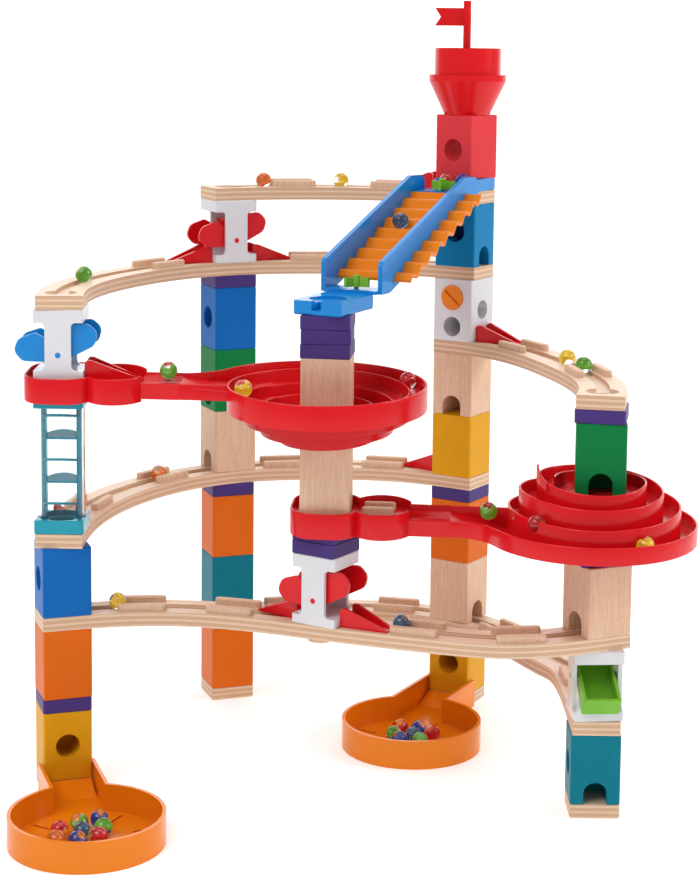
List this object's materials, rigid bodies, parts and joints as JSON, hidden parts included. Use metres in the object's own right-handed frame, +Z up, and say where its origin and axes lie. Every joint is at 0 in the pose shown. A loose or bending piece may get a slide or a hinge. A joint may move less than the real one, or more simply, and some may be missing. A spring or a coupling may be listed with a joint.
{
  "type": "marble run",
  "caption": "Free-standing modular marble run: block towers carrying curved rails, spiral tracks, a wavy chute, tipping switches, a ladder tube, a funnel and round catch trays",
  "frame": {"origin": "centre of the bounding box in plan, on the ground under the foot plates and trays", "axes": "Z up; -Y is the front, from which it is looked at, and +X is to the right"},
  "size_m": [0.5728, 0.4874, 0.684],
  "materials": {
    "natural_wood": "satin",
    "plywood": "satin",
    "purple_paint": "satin",
    "orange_paint": "satin",
    "yellow_paint": "satin",
    "teal_paint": "satin",
    "blue_paint": "satin",
    "green_paint": "satin",
    "red_paint": "satin",
    "white_plastic": "gloss",
    "red_plastic": "gloss",
    "teal_plastic": "gloss",
    "blue_plastic": "gloss",
    "orange_plastic": "gloss",
    "green_plastic": "gloss",
    "lime_plastic": "gloss",
    "clear_plastic": "gloss",
    "marble_glass": "gloss"
  },
  "bodies": {
    "run": {"blue_block_a": "blue_paint", "blue_block_b": "blue_paint", "bucket_frame": "white_plastic", "chute_frame": "blue_plastic", "chute_lower_plate": "blue_plastic", "chute_upper_plate": "blue_plastic", "clear_tube": "clear_plastic", "foot_plates": "plywood", "funnel": "red_plastic", "green_block_b": "green_paint", "green_block_e": "green_paint", "guide_strips": "natural_wood", "marbles_left_tray": "marble_glass", "marbles_on_tracks": "marble_glass", "marbles_right_tray": "marble_glass", "natural_block_b": "natural_wood", "natural_block_c_high": "natural_wood", "natural_block_c_low": "natural_wood", "natural_block_d_high": "natural_wood", "natural_block_d_low": "natural_wood", "natural_block_e": "natural_wood", "orange_blocks": "orange_paint", "paddle_pins": "lime_plastic", "purple_spacers": "purple_paint", "rail_front": "plywood", "rail_low": "plywood", "rail_middle": "plywood", "rail_right": "plywood", "rail_top": "plywood", "rail_upper": "plywood", "ramp_wedges": "red_plastic", "red_block_d": "red_paint", "spiral_track": "red_plastic", "switch_block": "white_plastic", "teal_block_b": "teal_paint", "teal_block_d": "teal_paint", "teal_block_e": "teal_paint", "tipper_frame_a": "white_plastic", "tipper_frame_b": "white_plastic", "tipper_frame_c": "white_plastic", "tray_left": "orange_plastic", "tray_right": "orange_plastic", "tube_base": "teal_plastic", "tube_cap": "teal_plastic", "tube_ladder": "teal_plastic", "vortex_track": "red_plastic", "yellow_block_a": "yellow_paint", "yellow_block_d_high": "yellow_paint", "yellow_block_d_low": "yellow_paint"},
    "tipper_a": {"blue_tipper_a": "blue_plastic"},
    "tipper_b": {"red_tipper_b": "red_plastic"},
    "tipper_c": {"red_tipper_c": "red_plastic"},
    "bucket": {"green_bucket": "green_plastic"},
    "switch": {"switch_disc": "orange_plastic"},
    "sheet": {"wavy_sheet": "orange_plastic"},
    "lower_paddle": {"lower_paddle": "lime_plastic"},
    "upper_paddle": {"upper_paddle": "lime_plastic"},
    "flag": {"flag": "red_plastic"},
    "vortex_marble": {"rolling_marble_vortex": "marble_glass"},
    "spiral_marble": {"rolling_marble_spiral": "marble_glass"}
  },
  "joints": [
    {"name": "tipper_a_rock", "type": "hinge", "parent": "run", "child": "tipper_a", "pos_m": [-0.24962, -0.0537, 0.3815], "axis": [0, -1, 0], "range_deg": [-25, 0]},
    {"name": "tipper_b_rock", "type": "hinge", "parent": "run", "child": "tipper_b", "pos_m": [-0.12362, 0.2013, 0.4535], "axis": [0.4384, -0.8988, 0], "range_deg": [-25, 0]},
    {"name": "tipper_c_rock", "type": "hinge", "parent": "run", "child": "tipper_c", "pos_m": [-0.02362, -0.0737, 0.1775], "axis": [-0.5, -0.866, 0], "range_deg": [-25, 0]},
    {"name": "bucket_tip", "type": "hinge", "parent": "run", "child": "bucket", "pos_m": [0.20438, -0.0967, 0.118], "axis": [0.9976, 0.0698, 0], "range_deg": [-35, 0]},
    {"name": "switch_turn", "type": "hinge", "parent": "run", "child": "switch", "pos_m": [0.09478, 0.17527, 0.402], "axis": [-0.565, -0.8251, 0], "range_deg": [0, 90]},
    {"name": "sheet_slide", "type": "slide", "parent": "run", "child": "sheet", "axis": [0.8992, -0.4376, 0], "range_m": [0, 0.045]},
    {"name": "lower_paddle_spin", "type": "hinge", "parent": "run", "child": "lower_paddle", "pos_m": [0.00001, -0.02515, 0.4405], "axis": [0, 0, 1], "continuous": true},
    {"name": "upper_paddle_spin", "type": "hinge", "parent": "run", "child": "upper_paddle", "pos_m": [0.07966, 0.1385, 0.512], "axis": [0, 0, 1], "continuous": true},
    {"name": "flag_turn", "type": "hinge", "parent": "run", "child": "flag", "pos_m": [0.10438, 0.2128, 0.62], "axis": [0, 0, 1], "continuous": true},
    {"name": "vortex_marble_roll", "type": "slide", "parent": "run", "child": "vortex_marble", "axis": [0.9961, -0.0882, 0], "range_m": [-0.018, 0.05]},
    {"name": "spiral_marble_roll", "type": "slide", "parent": "run", "child": "spiral_marble", "axis": [0.995, -0.1004, 0], "range_m": [-0.05, 0.008]}
  ]
}
